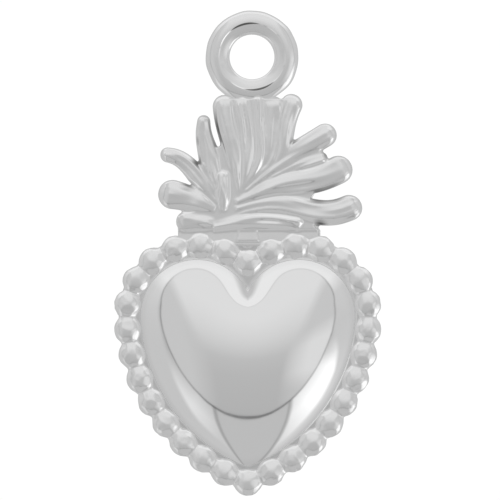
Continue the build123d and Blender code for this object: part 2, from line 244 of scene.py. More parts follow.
class CharmCrown(bpy.types.PropertyGroup):
    height: length("Height", "From the crown's foot to the tallest tips", 6.98)
    half_width: length("Half width", "Width that the tongues' places are shares of", 5.22)
    base_z: length("Foot level", "Level of the crown's lower edge", -8.94)
    tongue_width: length("Tongue width", "Width of a tongue whose share is one", 1.03)
    tongue_height: length("Tongue height", "Height of a tongue whose share is one", 0.83)
    flatness: share("Flatness", "One for a half-round tongue, and less for a flatter top", 0.55)
    furrows: share("Furrows", "How far a tongue's long furrows go into its height", 0.18)
    furrows_across: share("Furrows across", "How close the furrows lie across a tongue", 2.2, most=10)
    furrows_along: share("Furrows along", "How often the furrows change along a tongue", 2.5, most=10)
    ripple: length("Ripple", "How far a tongue's skin strays", 0.012)
    ripple_size: length("Ripple size", "Size of the skin's ripples", 0.5)
    root: share("Root", "Height at a tongue's root, where it comes out of the web", 0.8)
    root_run: share("Root run", "How much of a tongue's length it takes to rise", 0.35)
    web_height: length("Web height", "Height of the web between the tongues", 0.6)
    apron_height: length("Apron height", "Height of the skin over the collar", 0.22)
    apron_lean: share("Apron lean", "How far the skin comes forward over its way down", 0.12)
    stud_height: length("Stud height", "Height of the stud over the collar", 0.5)
    sunk: length("Sunk", "How far the casting goes into the plate", 0.05)
    fullness: share("Fullness", "What the softening takes off a tongue, as a share of its width", 0.12)
    # The shade painted on a slot's walls ends where the skin faces the front this squarely
    slot_edge: share("Slot edge", "How squarely the skin faces the front where a slot's tarnish ends", 0.9)
    grain: length("Grain", "Size of the casting's facets", 0.05)
    softening: amount("Softening", "Passes that soften the casting", 4)
    around: amount("Around", "Faces across a tongue's arch", 20)
    along: amount("Along", "Faces along a tongue", 44)
    tip_rows: amount("Tip rows", "Faces over a tongue's round tip", 12)


class CharmRing(bpy.types.PropertyGroup):
    outer_radius: length("Outer radius", "Radius over the ring", 2.435)
    hole_radius: length("Hole radius", "Radius of the hole at its waist", 1.16)
    land: length("Land", "Straight stretch at the hole's waist", 0.35)
    ridge: share("Ridge", "Where the bar's ridge lies, from the hole to the rim", 0.46)
    dish: share("Dish", "How much of the fall into the hole is a plain cone", 0.3)
    roll: amount("Roll", "How late the cone rolls over into the hole", 4)
    crease: length("Crease", "Width of the crease inside the ridge", 0.06)
    lean: length("Lean", "How far the cone is struck off level, up and down", 0.07)
    lean_turn: angle("Lean turn", "Where the cone lies level", 14)
    lean_run: share("Lean run", "How soon, from the hole to the ridge, the lean has come in", 1 / 3)
    worn: length("Worn", "How far the ring is rubbed down", 0.02)
    worn_size: length("Worn size", "Size of the rubbed places", 0.8)
    around: amount("Around", "Sections round the ring", 160)
    quarter: amount("Quarter", "Faces from the bar's ridge to its rim", 24)


class CharmPlate(bpy.types.PropertyGroup):
    grain: length("Grain", "Size of the plate's facets", 0.08)
    softening: amount("Softening", "Passes that rub the plate's edges", 3)


class CharmSilver(bpy.types.PropertyGroup):
    colour: tint("Silver", "Colour of the bare metal", (0.893, 0.894, 0.896))
    # Painted shade in the metal's hollows
    painted_shade: tint("Painted shade", "Colour of the metal in its hollows", (0.29, 0.29, 0.285))
    # Deeper painted shade, in a crease or a slot
    deep_painted_shade: tint("Deep painted shade", "Colour of the metal in a crease or slot", (0.145, 0.145, 0.1425))
    roughness: share("Roughness", "How dull the polish is", 0.13)
    spread: share("Roughness spread", "How much the dullness changes from place to place", 0.07)
    bump: length("Bump", "Depth of the waves and scratches whose share is one", 0.02)


class CharmStage(bpy.types.PropertyGroup):
    floor_gap: length("Floor gap", "From the heart's tip down to the floor", 3.0)
    floor_radius: length("Floor radius", "Radius of the round floor", 500.0)
    floor_sides: amount("Floor sides", "Sides of the round floor", 96)
    fade_from: length("Fade from", "Where the floor begins to fade to white", 12.0)
    fade_to: length("Fade to", "Where the floor is white", 45.0)
    white: share("White", "Brightness of the plain ground", 1.02, most=2)
    distance: length("Distance", "From the camera to the charm", 260.0)
    frame_width: length("Frame width", "Width of the view at the charm", 25.85)
    centre_x: length("Centre X", "Middle of the view, across", -0.103)
    centre_z: length("Centre Z", "Middle of the view, up", -9.98)


GROUPS = {
    "charm_heart": CharmHeart,
    "charm_balls": CharmBalls,
    "charm_crown": CharmCrown,
    "charm_ring": CharmRing,
    "charm_plate": CharmPlate,
    "charm_silver": CharmSilver,
    "charm_stage": CharmStage,
}


# Shader groups and materials


def add(tree, kind, links=None, **values):
    """A node with its values set and its inputs linked."""
    node = tree.nodes.new(kind)
    for key, value in values.items():
        setattr(node, key, value)
    for socket, source in (links or {}).items():
        if isinstance(source, bpy.types.NodeSocket):
            tree.links.new(source, node.inputs[socket])
        else:
            node.inputs[socket].default_value = source
    return node


def worked(tree, operation, *values, **more):
    """What a math node works out of the values."""
    return add(tree, "ShaderNodeMath", dict(enumerate(values)), operation=operation, **more).outputs[0]


def reach(tree, vector, directions):
    """A vector's length over the directions whose share is one."""
    flat = add(tree, "ShaderNodeVectorMath", {0: vector, 1: directions}, operation="MULTIPLY").outputs[0]
    return add(tree, "ShaderNodeVectorMath", {0: flat}, operation="LENGTH").outputs["Value"]


def between(tree, value, start, end, low=0.0, high=1.0, shape="LINEAR"):
    """From low at the start to high at the end, and even beyond both."""
    values = {"Value": value, "From Min": start, "From Max": end, "To Min": low, "To Max": high}
    return add(tree, "ShaderNodeMapRange", values, interpolation_type=shape).outputs[0]


def curve(tree, value, stops):
    """The reading at a value on a line through the stops, and even beyond both ends."""
    start, end = stops[0][0], stops[-1][0]
    low, high = min(tone for _, tone in stops), max(tone for _, tone in stops)
    node = add(tree, "ShaderNodeValToRGB", {0: between(tree, value, start, end)})
    shades = node.color_ramp.elements
    for place, _ in stops[1:-1]:
        shades.new((place - start) / (end - start))
    for shade, (_, tone) in zip(shades, stops):
        shade.color = (*[(tone - low) / (high - low)] * 3, 1)
    return between(tree, node.outputs[0], 0, 1, low, high)


def cloud(tree, place, scale, detail):
    """Soft noise, from 0 to 1."""
    return add(tree, "ShaderNodeTexNoise", {"Vector": place, "Scale": scale, "Detail": detail}).outputs[0]


def tones(tree, part, first, second):
    """Two tones mixed."""
    return add(tree, "ShaderNodeMix", {0: part, 2: first, 3: second}, data_type="FLOAT").outputs[0]


# An input socket's kind, by how many numbers its value has
SOCKETS = {1: "NodeSocketFloat", 3: "NodeSocketVector", 4: "NodeSocketColor"}


def shader_group(name, inputs, outputs, fill):
    """The shader node group of this name, made and filled when it is first asked for."""
    if name in bpy.data.node_groups:
        return bpy.data.node_groups[name]
    tree = bpy.data.node_groups.new(name, "ShaderNodeTree")
    for label, default in inputs.items():
        kind = SOCKETS[np.size(default)]
        tree.interface.new_socket(label, in_out="INPUT", socket_type=kind).default_value = default
    for label, kind in outputs.items():
        tree.interface.new_socket(label, in_out="OUTPUT", socket_type=kind)
    given = tree.nodes.new("NodeGroupInput").outputs
    out = tree.nodes.new("NodeGroupOutput").inputs
    for label, source in fill(tree, given).items():
        tree.links.new(source, out[label])
    return tree


def painted_shade_group(name, inputs, cover):
    """A shader group that turns the metal's colour to a painted shade as far as the cover reaches."""

    def fill(tree, given):
        shades = {0: cover(tree, given), 6: given["Color"], 7: given["Painted shade"]}
        return {"Color": add(tree, "ShaderNodeMix", shades, data_type="RGBA").outputs[2]}

    inputs = {"Color": (0.9, 0.9, 0.9, 1), "Painted shade": (0.3, 0.3, 0.3, 1), **inputs}
    return shader_group(name, inputs, {"Color": "NodeSocketColor"}, fill)


def hand_polish():
    """Soft waves left by the casting and the buff, and the fine lines of the buff."""
    buff_lines = (2600.0, 2600.0, 14000.0)
    blotch_scale = 900.0

    def fill(tree, given):
        place = add(tree, "ShaderNodeTexCoord").outputs["Object"]
        stretched = add(tree, "ShaderNodeMapping", {"Vector": place, "Scale": buff_lines}).outputs[0]
        waves = worked(tree, "MULTIPLY", cloud(tree, place, given["Wave scale"], 1.5), given["Wave depth"])
        lines = cloud(tree, stretched, 1.0, 3.0)
        blotches = worked(tree, "SUBTRACT", cloud(tree, place, blotch_scale, 3.0), 0.5)
        height = worked(tree, "MULTIPLY_ADD", lines, given["Scratch depth"], waves)
        rough = worked(tree, "MULTIPLY_ADD", blotches, given["Roughness spread"], given["Roughness"])
        return {"Height": height, "Roughness": rough}

    inputs = {
        "Wave scale": 700.0, "Wave depth": 1.0, "Scratch depth": 0.05, "Roughness": 0.12,
        "Roughness spread": 0.06,
    }
    outputs = {"Height": "NodeSocketFloat", "Roughness": "NodeSocketFloat"}
    return shader_group("Hand polish", inputs, outputs, fill)


def hollow_painted_shade():
    """Painted shade: silver that darkens towards the back, down in the hollows where shade falls."""
    patch_scale = 1600.0
    thinnest, thickest = 0.55, 1.25

    def cover(tree, given):
        place = add(tree, "ShaderNodeTexCoord").outputs["Object"]
        depth = add(tree, "ShaderNodeSeparateXYZ", {0: place}).outputs["Y"]
        fall = between(tree, depth, given["Unshaded from"], given["Dark at"], shape="SMOOTHSTEP")
        patches = between(tree, cloud(tree, place, patch_scale, 4.0), 0, 1, thinnest, thickest)
        patchy = worked(tree, "MULTIPLY", fall, patches)
        return worked(tree, "MULTIPLY", patchy, given["Amount"], use_clamp=True)

    inputs = {"Unshaded from": -0.0006, "Dark at": 0.0, "Amount": 0.5}
    return painted_shade_group("Hollow painted shade", inputs, cover)


def crease_painted_shade():
    """Painted shade in two crescents, across from each other, where a crease runs round inside a bar's
    ridge.
    """
    crescent_ends = 0.86
    full_width = 1 / 7.2
    soft_edge = 1 / 3

    def cover(tree, given):
        place = add(tree, "ShaderNodeTexCoord").outputs["Object"]
        parts = add(tree, "ShaderNodeSeparateXYZ", {0: place}).outputs
        turn = worked(tree, "SUBTRACT", worked(tree, "ARCTAN2", parts["Z"], parts["X"]), given["Turn"])
        upright = worked(tree, "ABSOLUTE", worked(tree, "SINE", turn))
        width = between(tree, upright, crescent_ends, crescent_ends + full_width)
        off = worked(tree, "SUBTRACT", reach(tree, place, (1, 0, 1)), given["Radius"])
        off = worked(tree, "DIVIDE", worked(tree, "ABSOLUTE", off), given["Width"])
        return between(tree, worked(tree, "SUBTRACT", width, off), 0, soft_edge)

    return painted_shade_group("Crease painted shade", {"Radius": 0.0017, "Width": 0.0001, "Turn": 0.2}, cover)


def slot_painted_shade():
    """Painted shade on the steep walls of one narrow slot, round its place across and up."""

    def cover(tree, given):
        where = add(tree, "ShaderNodeTexCoord").outputs
        places = {0: where["Object"], 1: given["Place"]}
        off = add(tree, "ShaderNodeVectorMath", places, operation="SUBTRACT").outputs[0]
        far = reach(tree, off, (1, 0, 1))
        near = between(tree, far, given["Reach"], 0, shape="SMOOTHSTEP")
        facing = add(tree, "ShaderNodeSeparateXYZ", {0: where["Normal"]}).outputs["Y"]
        steep = between(tree, facing, given["Unshaded from"], given["Dark at"], shape="SMOOTHSTEP")
        return worked(tree, "MULTIPLY", near, steep)

    inputs = {"Place": (0, 0, 0), "Reach": 0.0005, "Unshaded from": -0.9, "Dark at": -0.6}
    return painted_shade_group("Slot painted shade", inputs, cover)


def dress(material, group, values):
    """Put a painted-shade group between the metal's colour and what feeds it."""
    tree = material.node_tree
    colour = tree.nodes["Principled BSDF"].inputs["Base Color"]
    deep = bpy.context.scene.charm_silver.deep_painted_shade
    values = {"Color": colour.links[0].from_socket, "Painted shade": (*deep, 1), **values}
    node = add(tree, "ShaderNodeGroup", values, node_tree=group)
    tree.links.new(node.outputs["Color"], colour)


def silver(name):
    """Bright silver for one kind of piece."""
    if name in bpy.data.materials:
        return bpy.data.materials[name]
    look = bpy.context.scene.charm_silver
    wave_scale, wave_depth, scratch_depth, unshaded_from, dark_at, shade_share, duller = FINISHES[name]
    material = bpy.data.materials.new(name)
    material.use_nodes = True
    tree = material.node_tree
    metal = tree.nodes["Principled BSDF"]
    metal.inputs["Metallic"].default_value = 1.0
    polished = {
        "Wave scale": wave_scale, "Wave depth": wave_depth, "Scratch depth": scratch_depth,
        "Roughness": look.roughness + duller, "Roughness spread": look.spread,
    }
    polish = add(tree, "ShaderNodeGroup", polished, node_tree=hand_polish())
    # Shade painted into the hollows: the metal darkens towards the back
    darkened = {
        "Color": (*look.colour, 1), "Painted shade": (*look.painted_shade, 1), "Unshaded from": unshaded_from * MM,
        "Dark at": dark_at * MM, "Amount": shade_share,
    }
    painted_shade = add(tree, "ShaderNodeGroup", darkened, node_tree=hollow_painted_shade())
    waved = {"Height": polish.outputs["Height"], "Strength": 1.0, "Distance": look.bump}
    bump = add(tree, "ShaderNodeBump", waved)
    tree.links.new(painted_shade.outputs["Color"], metal.inputs["Base Color"])
    tree.links.new(polish.outputs["Roughness"], metal.inputs["Roughness"])
    tree.links.new(bump.outputs[0], metal.inputs["Normal"])
    return material


# Meshes


def placed(name, data):
    """An object with this data, put in the scene."""
    item = bpy.data.objects.new(name, data)
    bpy.context.scene.collection.objects.link(item)
    return item


def make_piece(name, points, faces, material, nodes, sharp=40):
    """A closed mesh as a piece of the charm, in place of the CAD nodes it stands for."""
    mesh = bpy.data.meshes.new(name)
    mesh.from_pydata([tuple(p) for p in points], [], [tuple(f) for f in faces])
    mesh.validate()
    mesh.shade_smooth()
    mesh.set_sharp_from_angle(angle=math.radians(sharp))
    mesh.materials.append(material)
    piece = placed(name, mesh)
    piece.visible_glossy = False
    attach(piece, "root")
    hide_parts(*nodes)
    return piece


def tube_faces(rows, columns, first=0):
    """Quads between closed loops of points, one loop after another."""
    faces = []
    for r in range(rows - 1):
        for c in range(columns):
            a = first + r * columns + c
            b = first + r * columns + (c + 1) % columns
            faces.append((a, b, b + columns, a + columns))
    return faces


def grain(point, size, seed):
    """A smooth random number from minus one to one at a place."""
    return noise.noise(Vector(point) / size + Vector([seed * step for step in SEED_STEP]))


def cast_together(points, faces, size, softening):
    """Closed bodies run into one skin, as if cast, with their corners softened. It is done in
    millimetres, because voxels below 0.0001 of a unit are finer than the remesher is meant for."""
    mesh = bpy.data.meshes.new("casting")
    mesh.from_pydata([tuple(p / MM) for p in points], [], faces)
    form = placed("casting", mesh)
    voxels = form.modifiers.new("voxels", "REMESH")
    voxels.mode = "VOXEL"
    voxels.voxel_size = size / MM
    soft = form.modifiers.new("soft", "SMOOTH")
    soft.iterations = softening
    done = bpy.data.meshes.new_from_object(form.evaluated_get(bpy.context.evaluated_depsgraph_get()))
    points = [v.co * MM for v in done.vertices]
    faces = [tuple(f.vertices) for f in done.polygons]
    bpy.data.objects.remove(form)
    bpy.data.meshes.remove(mesh)
    bpy.data.meshes.remove(done)
    if not faces:
        raise RuntimeError("the bodies didn't run together")
    return points, faces


class MakePlate(bpy.types.Operator):
    """Make the stepped back plate on its solid's form, with its edges rubbed round"""

    bl_idname = "charm.plate"
    bl_label = "Back plate"

    def execute(self, context):
        plate = context.scene.charm_plate
        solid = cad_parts["back_plate"]
        points = [solid.matrix_world @ v.co for v in solid.data.vertices]
        faces = [tuple(p.vertices) for p in solid.data.polygons]
        points, faces = cast_together(points, faces, plate.grain, plate.softening)
        make_piece("stepped_plate", points, faces, silver("Plate silver"), ["back_plate"], sharp=60)
        return {"FINISHED"}


def heart_outline(heart, angles):
    """How far the heart's foot reaches from the apex line, along each angle from straight up."""
    spread, radius, joint = heart.lobe_spread, heart.lobe_radius, heart.joint_angle
    drop = heart.lobe_z - heart.tip_z
    extra = (spread**2 + drop**2 - radius**2) / (
        2 * (radius + spread * math.cos(joint) - drop * math.sin(joint))
    )
    side = np.array((spread - extra * math.cos(joint), heart.lobe_z + extra * math.sin(joint)))
    lobe = np.array((spread, heart.lobe_z))
    start = np.array((0.0, heart.apex_z))
    ray = np.stack([np.abs(np.sin(angles)), np.cos(angles)], axis=1)

    def far_crossing(centre, size):
        along = ray @ (centre - start)
        off = (centre - start) @ (centre - start) - along**2
        return along + np.sqrt(np.maximum(size**2 - off, 0))

    to_lobe = far_crossing(lobe, radius)
    to_side = far_crossing(side, radius + extra)
    meet = lobe + radius * np.array((math.cos(joint), -math.sin(joint)))
    switch = math.atan2(meet[0], meet[1] - start[1])
    folded = np.abs(np.arctan2(np.sin(angles), np.cos(angles)))
    return np.where(folded < switch, to_lobe, to_side)


def disc(rims, angles, rings):
    """Points from the middle out to the rim along each angle, closer near the rim, and triangles."""
    rays = len(angles)
    out = 1 - (1 - np.arange(1, rings + 1) / rings) ** 2
    x = (out[:, None] * rims * np.sin(angles)).ravel()
    z = (out[:, None] * rims * np.cos(angles)).ravel()
    flat = np.concatenate([[[0.0, 0.0]], np.stack([x, z], axis=1)])
    here = np.arange(rays)
    after = (here + 1) % rays
    triangles = [np.stack([np.zeros(rays, int), 1 + here, 1 + after], axis=1)]
    for ring in range(rings - 1):
        a, b = 1 + ring * rays + here, 1 + ring * rays + after
        triangles.append(np.stack([a, a + rays, b + rays], axis=1))
        triangles.append(np.stack([a, b + rays, b], axis=1))
    return flat, np.concatenate(triangles)


def soap_film(film, load, whole):
    """The lift that balances the load on a soap film, by conjugate gradients."""
    most_passes = 1500
    close_enough = 1e-14
    lift = np.zeros(len(load))
    rest = load.copy()
    step = rest / whole
    size = rest @ step
    first = size
    for _ in range(most_passes):
        pull = film(step)
        part = size / (step @ pull)
        lift += part * step
        rest -= part * pull
        eased = rest / whole
        new = rest @ eased
        if new < first * close_enough:
            break
        step = eased + new / size * step
        size = new
    return lift


def blown_up(flat, triangles, rim, slant):
    """The height, as a share of the greatest, of a skin blown up over an outline: at each point the
    root of a soap film's lift. The film's equation is solved on the triangles themselves. The slant
    keeps the foot from standing upright."""
    corners = flat[triangles]
    weights = np.zeros(0)
    rows, columns = np.zeros(0, int), np.zeros(0, int)
    across = np.cross(corners[:, 1] - corners[:, 0], corners[:, 2] - corners[:, 0])
    for k in range(3):
        a, b, c = triangles[:, k], triangles[:, (k + 1) % 3], triangles[:, (k + 2) % 3]
        u, v = flat[b] - flat[a], flat[c] - flat[a]
        cotangent = (u * v).sum(axis=1) / np.abs(across) / 2
        rows = np.concatenate([rows, b, c])
        columns = np.concatenate([columns, c, b])
        weights = np.concatenate([weights, cotangent, cotangent])
    count = len(flat)
    free = ~rim
    load = np.bincount(triangles.ravel(), np.repeat(np.abs(across) / 6, 3), count) * free
    whole = np.bincount(rows, weights, count)

    def film(lift):
        return (whole * lift - np.bincount(rows, weights * lift[columns], count)) * free

    lift = soap_film(film, load, whole)
    lift = np.maximum(lift, 0) / lift.max()
    return (np.sqrt(lift + slant) - math.sqrt(slant)) / (math.sqrt(1 + slant) - math.sqrt(slant))


class MakeHeart(bpy.types.Operator):
    """Make the pressed heart as a skin blown up over its outline"""

    bl_idname = "charm.heart"
    bl_label = "Pressed heart"

    def execute(self, context):
        heart = context.scene.charm_heart
        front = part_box("heart_dome")[1].y
        rays, rings = heart.rays, heart.rings
        angles = 2 * math.pi * np.arange(rays) / rays
        flat, triangles = disc(heart_outline(heart, angles), angles, rings)
        count = len(flat)
        rim = np.arange(count) >= count - rays
        swell = blown_up(flat, triangles, rim, heart.slant)

        def skin(height, shrink):
            across = heart.axis_x + flat[:, 0] * shrink
            return np.stack([across, front - swell * height, heart.apex_z + flat[:, 1] * shrink], axis=1)

        outside = skin(heart.height, 1)
        outside[rim, 1] += heart.sunk
        inside = skin(heart.height - heart.wall, 1 - heart.wall / (heart.lobe_spread + heart.lobe_radius))
        shell = [(0, 1 + c, 1 + (c + 1) % rays) for c in range(rays)]
        shell += [(a, d, c, b) for a, b, c, d in tube_faces(rings, rays, 1)]
        faces = list(shell)
        faces += [tuple(count + i for i in reversed(f)) for f in shell]
        last = count - rays
        for c in range(rays):
            a, b = last + c, last + (c + 1) % rays
            faces.append((a, a + count, b + count, b))
        points = np.concatenate([outside, inside])
        make_piece("pressed_heart", points, faces, silver("Heart silver"), ["heart_dome"])
        return {"FINISHED"}


class MakeBalls(bpy.types.Operator):
    """Make the balls round the heart as beads on a wire, each with half of the neck on both sides"""

    bl_idname = "charm.balls"
    bl_label = "Balls"

    def execute(self, context):
        balls = context.scene.charm_balls
        nodes = [n for n in sorted(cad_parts) if n.startswith("ball_")]
        tops = []
        for node in nodes:
            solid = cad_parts[node]
            tops.append(min((solid.matrix_world @ v.co for v in solid.data.vertices), key=lambda p: p.y))
        for number, node in enumerate(nodes):
            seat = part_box(node)[1].y
            before, here, after = (tops[(number + k) % len(tops)] for k in (-1, 0, 1))
            points, faces = self.bead(balls, number, seat, before, here, after)
            name = node.replace("ball", "round_ball")
            make_piece(name, points, faces, silver("Ball silver"), [node])
        return {"FINISHED"}

    def bead(self, balls, number, seat, before, here, after):
        """Sections across the wire, turned like a fan, so both ends stand square to their neighbour."""
        radius = (seat - here.y) / (1 + balls.seat)
        steps = [here - before, after - here]
        turns = [math.atan2(step.z, step.x) for step in steps]
        half_turn = math.remainder(turns[1] - turns[0], 2 * math.pi) / 2
        points = []
        for station in range(balls.stations + 1):
            way = 2 * station / balls.stations - 1
            way = math.sin(math.pi / 2 * way) * balls.crowding + way * (1 - balls.crowding)
            out = way * (steps[way > 0].length - balls.gap) / 2
            turn = turns[0] + half_turn + math.asin(way * math.sin(half_turn))
            along = Vector((math.cos(turn), 0, math.sin(turn)))
            across = Vector((-along.z, 0, along.x))
            slice_radius = (max(radius**2 - out**2, 0) ** 2 + balls.neck**4) ** 0.25
            slice_radius *= radius / (radius**4 + balls.neck**4) ** 0.25
            for side in range(-balls.leg_rows, balls.sides + balls.leg_rows + 1):
                over = math.pi * min(max(side / balls.sides, 0), 1)
                down = max(-side, side - balls.sides, 0) / balls.leg_rows
                place = here + along * out + across * (slice_radius + balls.inset) * math.cos(over)
                place.y = here.y + radius - slice_radius * math.sin(over)
                dent = balls.dent * abs(grain(place, balls.facet * radius, number))
                place -= (across * math.cos(over) - Vector((0, 1, 0)) * math.sin(over)) * dent
                place.y += (seat - place.y) * down
                points.append(place)
        columns = balls.sides + 1 + 2 * balls.leg_rows
        faces = tube_faces(balls.stations + 1, columns)
        last = balls.stations * columns
        faces.append(tuple(reversed(range(columns))))
        faces.append(tuple(last + c for c in range(columns)))
        return points, faces


def smooth_line(places, count):
    """Points, evenly spread, on a natural spline through the places."""
    fine_points = 400
    places = np.array(places, float)
    knots = np.concatenate([[0], np.cumsum(np.linalg.norm(np.diff(places, axis=0), axis=1))])
    gaps = np.diff(knots)
    n = len(places)
    system, right = np.eye(n), np.zeros((n, 2))
    for i in range(1, n - 1):
        system[i, i - 1 : i + 2] = gaps[i - 1], 2 * (gaps[i - 1] + gaps[i]), gaps[i]
        right[i] = 6 * ((places[i + 1] - places[i]) / gaps[i] - (places[i] - places[i - 1]) / gaps[i - 1])
    bends = np.linalg.solve(system, right)

    def at(t):
        i = np.clip(np.searchsorted(knots, t, side="right") - 1, 0, n - 2)
        h = gaps[i][:, None]
        a, b = (knots[i + 1] - t)[:, None] / h, (t - knots[i])[:, None] / h
        bent = (a**3 - a) * bends[i] + (b**3 - b) * bends[i + 1]
        return a * places[i] + b * places[i + 1] + bent * h**2 / 6

    fine = at(np.linspace(0, knots[-1], fine_points))
    run = np.concatenate([[0], np.cumsum(np.linalg.norm(np.diff(fine, axis=0), axis=1))])
    even = np.linspace(0, run[-1], count)
    return np.stack([np.interp(even, run, fine[:, k]) for k in range(2)], axis=1), run[-1]


class MakeFlames(bpy.types.Operator):
    """Make the crown as one casting: tongues on bent lines that run together over a web"""

    bl_idname = "charm.flames"
    bl_label = "Crown of flames"

    def execute(self, context):
        crown = context.scene.charm_crown
        base_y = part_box("flame_core")[1].y
        bodies = [
            self.slab(crown, base_y, WEB, crown.web_height, 0),
            self.slab(crown, base_y, APRON, crown.apron_height, crown.apron_lean),
            self.slab(crown, base_y, STUD, crown.stud_height, crown.apron_lean),
        ]
        bodies += [self.tongue(crown, base_y, n, shares) for n, shares in enumerate(TONGUES.values())]
        points, faces = [], []
        for more_points, more_faces in bodies:
            faces += [tuple(len(points) + i for i in f) for f in more_faces]
            points += more_points
        points, faces = cast_together(points, faces, crown.grain, crown.softening)
        material = silver("Flame silver")
        # Shade painted on the steep walls of each narrow slot
        for x, z, size in SLOTS:
            across, up = self.at(crown, x, z)
            values = {"Place": (across, 0, up), "Reach": size * crown.height, "Unshaded from": -crown.slot_edge}
            dress(material, slot_painted_shade(), values)
        nodes = [*TONGUES, "crown_stud"]
        make_piece("crown_of_flames", points, faces, material, nodes, sharp=60)
        return {"FINISHED"}

    def at(self, crown, x, z):
        """Across and up, for a place in the crown's shares."""
        axis_x = bpy.context.scene.charm_heart.axis_x
        return axis_x + x * crown.half_width, crown.base_z + z * crown.height

    def slab(self, crown, base_y, outline, thickness, lean):
        """An outline's slab, with a front that comes forward downwards by its lean."""
        places = [self.at(crown, x, z) for x, z in outline]
        points = [Vector((x, base_y + crown.sunk, z)) for x, z in places]
        points += [Vector((x, base_y - thickness + lean * (z - crown.base_z), z)) for x, z in places]
        count = len(places)
        faces = [tuple(range(count)), tuple(reversed(range(count, 2 * count)))]
        for i in range(count):
            j = (i + 1) % count
            faces.append((j, i, count + i, count + j))
        return points, faces

    def tongue(self, crown, base_y, number, shares):
        """An arched bar with furrows on a bent line, which rises from its root and has a round tip."""
        root, middle, tip, height_share, *places = shares
        halves = [s * crown.tongue_width * (1 + crown.fullness) / 2 for s in (root, middle, tip)]
        height = height_share * crown.tongue_height
        line, run = smooth_line([self.at(crown, x, z) for x, z in places], LINE_STEPS + 1)
        cap = halves[2] / run
        steps = [i / crown.along * (1 - cap) for i in range(crown.along)]
        steps += [1 - cap + cap * math.sin(math.pi / 2 * i / crown.tip_rows) for i in range(crown.tip_rows)]
        points = []
        for t in steps:
            half = np.interp(min(t / (1 - cap), 1), (0, 0.5, 1), halves)
            round_off = math.sqrt(max(1 - ((t - 1 + cap) / cap) ** 2, 0)) if t > 1 - cap else 1
            come_up = min(t / crown.root_run, 1)
            rise = crown.root + (1 - crown.root) * come_up**2 * (3 - 2 * come_up)
            points += self.arch(crown, base_y, number, line, t, half * round_off, height * rise * round_off)
        points.append(Vector((line[-1][0], base_y, line[-1][1])))
        columns = crown.around + 1
        faces = [tuple(reversed(f)) for f in tube_faces(len(steps), columns)]
        faces.append(tuple(range(columns)))
        last = (len(steps) - 1) * columns
        faces += [(last + c, last + (c + 1) % columns, len(steps) * columns) for c in range(columns)]
        return points, faces

    def arch(self, crown, base_y, number, line, t, half, height):
        """One arched row of a tongue, across its line at the share t of its length."""
        k = t * LINE_STEPS
        i = min(int(k), LINE_STEPS - 1)
        place = line[i] + (line[i + 1] - line[i]) * (k - i)
        ahead = line[min(i + LINE_LOOK, LINE_STEPS)] - line[max(i - LINE_LOOK, 0)]
        ahead /= np.linalg.norm(ahead)
        points = []
        for j in range(crown.around + 1):
            turn = math.pi * j / crown.around
            out = half * math.cos(turn)
            spot = (crown.furrows_across * math.cos(turn), crown.furrows_along * t, 0)
            furrow = 1 + crown.furrows * grain(spot, 1, FURROW_SEED + number)
            up = height * math.sin(turn) ** crown.flatness * furrow
            here = Vector((place[0] + ahead[1] * out, base_y - up, place[1] - ahead[0] * out))
            here.y += crown.ripple * grain(here, crown.ripple_size, number) * math.sin(turn)
            points.append(here)
        return points


class MakeRing(bpy.types.Operator):
    """Make the hanging ring as a bar with a ridge and a dished face that rolls over into its hole"""

    bl_idname = "charm.ring"
    bl_label = "Hanging ring"

    def execute(self, context):
        ring = context.scene.charm_ring
        width = ring.outer_radius - ring.hole_radius
        half = (width + ring.land**2 / width / 4) / 2
        ridge = ring.hole_radius + width * ring.ridge
        inner = ridge - ring.hole_radius
        section = self.section(ring, half, ridge)
        points = []
        for r in range(ring.around):
            turn = 2 * math.pi * r / ring.around
            for out, depth in section:
                inside = out - ring.hole_radius
                sunk = min(max((ridge - out) / ring.crease, 0), 1) * min(inside / inner / ring.lean_run, 1)
                depth -= math.copysign(ring.lean * sunk * math.sin(turn - ring.lean_turn), depth)
                here = Vector((out * math.cos(turn), depth, out * math.sin(turn)))
                worn = ring.worn * (1 + grain(here, ring.worn_size, RING_SEED)) / 2 * inside / width
                points.append(here * (1 - worn / half))
        faces = [tuple(i % len(points) for i in f) for f in tube_faces(ring.around + 1, len(section))]
        material = silver("Ring silver")
        # Shade painted in two crescents along the crease inside the ridge
        values = {"Radius": ridge - ring.crease / 2, "Width": ring.crease, "Turn": ring.lean_turn}
        dress(material, crease_painted_shade(), values)
        make_piece("ring_bar", points, faces, material, ["hanging_ring"])
        return {"FINISHED"}

    def section(self, ring, half, ridge):
        """The bar's section, out and to the back: round outside its ridge, and dished inside it."""
        quarter = [math.pi / 2 * c / ring.quarter for c in range(ring.quarter + 1)]
        arch = [(ridge + (ring.outer_radius - ridge) * math.cos(a), half * math.sin(a)) for a in quarter]
        for a in quarter[1:]:
            fall = math.sin(a) ** 2
            drop = fall * ring.dish + (1 - ring.dish) * (1 - math.sqrt(max(1 - fall**ring.roll, 0)))
            arch.append((ridge - (ridge - ring.hole_radius) * fall, half + (ring.land / 2 - half) * drop))
        return [(r, -y) for r, y in arch] + [(r, y) for r, y in reversed(arch)]


